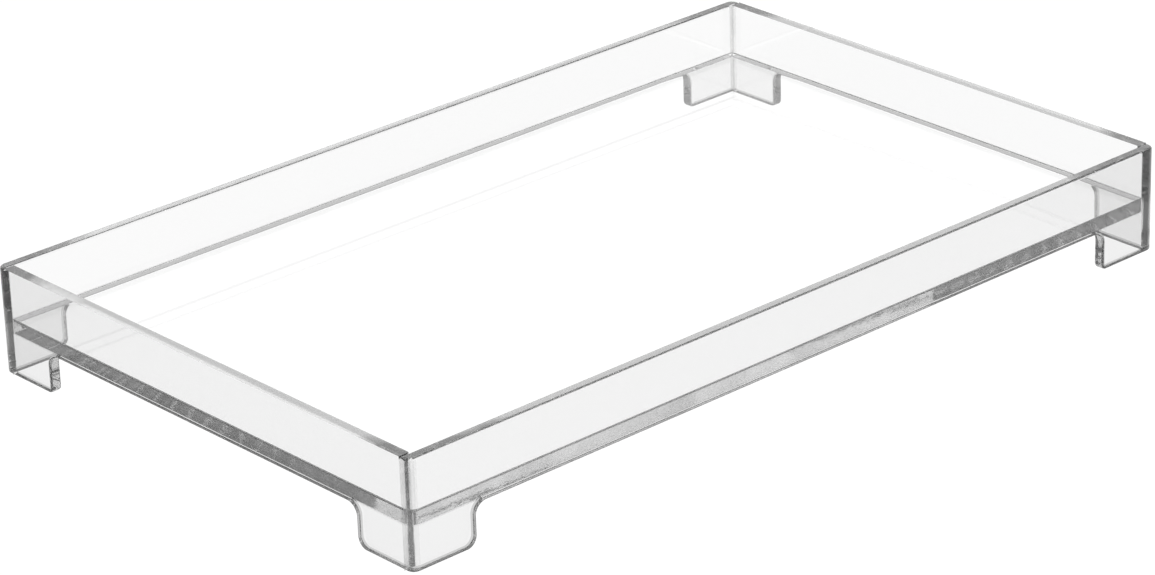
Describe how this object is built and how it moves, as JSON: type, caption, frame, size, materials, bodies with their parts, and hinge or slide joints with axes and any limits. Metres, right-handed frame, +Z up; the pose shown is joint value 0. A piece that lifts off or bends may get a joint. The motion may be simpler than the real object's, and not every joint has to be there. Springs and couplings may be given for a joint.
{
  "type": "vanity tray",
  "caption": "Clear rectangular tray with a low upright wall all round and an L-shaped foot at each corner, for bottles on a dresser.",
  "frame": {"origin": "middle of the tray on the surface that its feet stand on", "axes": "+X along the long side, +Y to the back, +Z up"},
  "size_m": [0.33, 0.203, 0.0375],
  "materials": {
    "clear_acrylic": "polished, colourless and fully transparent",
    "acrylic_cement": "clear cured cement, a little duller than the sheet"
  },
  "bodies": {
    "root": {"base_panel": "clear_acrylic", "front_wall": "clear_acrylic", "back_wall": "clear_acrylic", "left_wall": "clear_acrylic", "right_wall": "clear_acrylic", "front_left_corner_seam": "acrylic_cement", "front_right_corner_seam": "acrylic_cement", "back_left_corner_seam": "acrylic_cement", "back_right_corner_seam": "acrylic_cement", "front_base_seam": "acrylic_cement", "back_base_seam": "acrylic_cement", "left_base_seam": "acrylic_cement", "right_base_seam": "acrylic_cement"}
  },
  "joints": []
}
